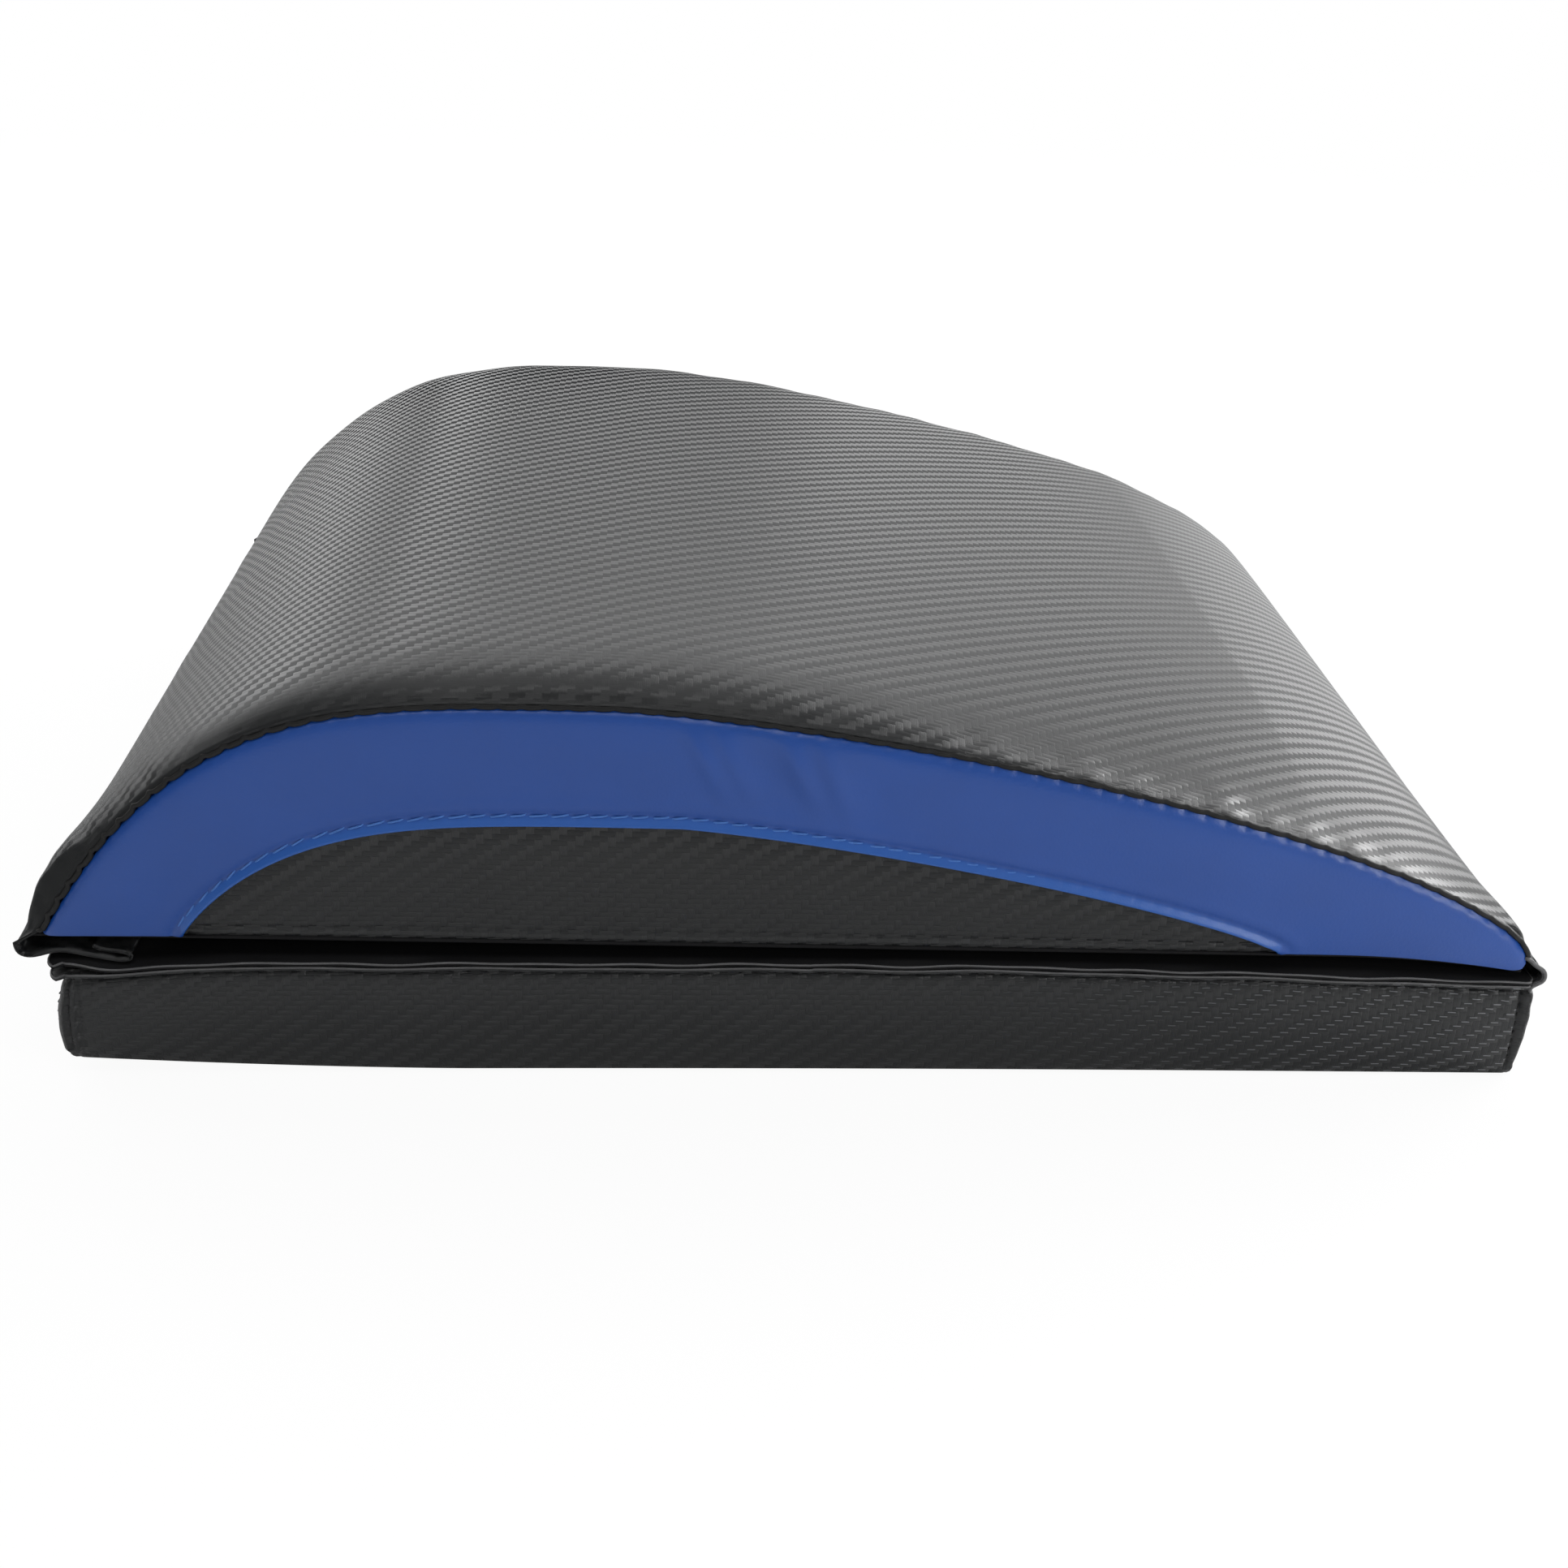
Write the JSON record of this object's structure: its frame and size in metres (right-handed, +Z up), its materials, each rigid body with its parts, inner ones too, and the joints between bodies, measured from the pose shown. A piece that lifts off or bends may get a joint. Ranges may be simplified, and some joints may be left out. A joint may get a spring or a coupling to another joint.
{
  "type": "folding ab mat",
  "caption": "Folding ab mat stored folded: a padded crescent hump with side bands lies on a flat padded tailbone cushion, and a fabric hinge joins them at the thin end.",
  "frame": {"origin": "under the middle of the folded mat, on the surface that the pad lies on", "axes": "+X along the spine from the hump's steep end towards its thin end and the fabric hinge, +Y across the mat, +Z up"},
  "size_m": [0.3885, 0.3072, 0.1133],
  "materials": {
    "black_carbon_vinyl": "black leatherette with an embossed twill weave, satin sheen",
    "royal_blue_vinyl": "smooth royal blue leatherette, satin",
    "black_lining_vinyl": "plain black leatherette, matte",
    "foam": "firm moulded foam, matte",
    "blue_thread": "twisted sewing thread",
    "black_thread": "twisted sewing thread",
    "fastening_tape": "hook and loop tape, matte"
  },
  "bodies": {
    "hump": {"hump_foam_core": "foam", "hump_top_cover": "black_carbon_vinyl", "hump_band_front": "royal_blue_vinyl", "hump_band_back": "royal_blue_vinyl", "hump_insert_front": "black_carbon_vinyl", "hump_insert_back": "black_carbon_vinyl", "hump_base_panel": "black_lining_vinyl", "band_topstitch_front": "blue_thread", "band_topstitch_back": "blue_thread", "closure_flap": "black_carbon_vinyl", "flap_hook_tape": "fastening_tape", "flap_loop_tape": "fastening_tape", "hinge_stitches_hump": "black_thread"},
    "tailbone_pad": {"pad_foam_core": "foam", "pad_shell_cover": "black_carbon_vinyl", "pad_base_panel": "black_carbon_vinyl", "pad_corner_seam_back_left": "black_thread", "pad_corner_seam_back_right": "black_thread", "pad_corner_seam_front_left": "black_thread", "pad_corner_seam_front_right": "black_thread", "pad_flange_stitches": "black_thread", "hinge_strip": "black_carbon_vinyl", "hinge_stitches_pad": "black_thread"}
  },
  "joints": [
    {"name": "tailbone_pad_fold", "type": "hinge", "parent": "hump", "child": "tailbone_pad", "pos_m": [0.19345, 0, 0.0308], "axis": [0, -1, 0], "range_deg": [0, 179], "deforming": ["hinge_strip"]}
  ]
}
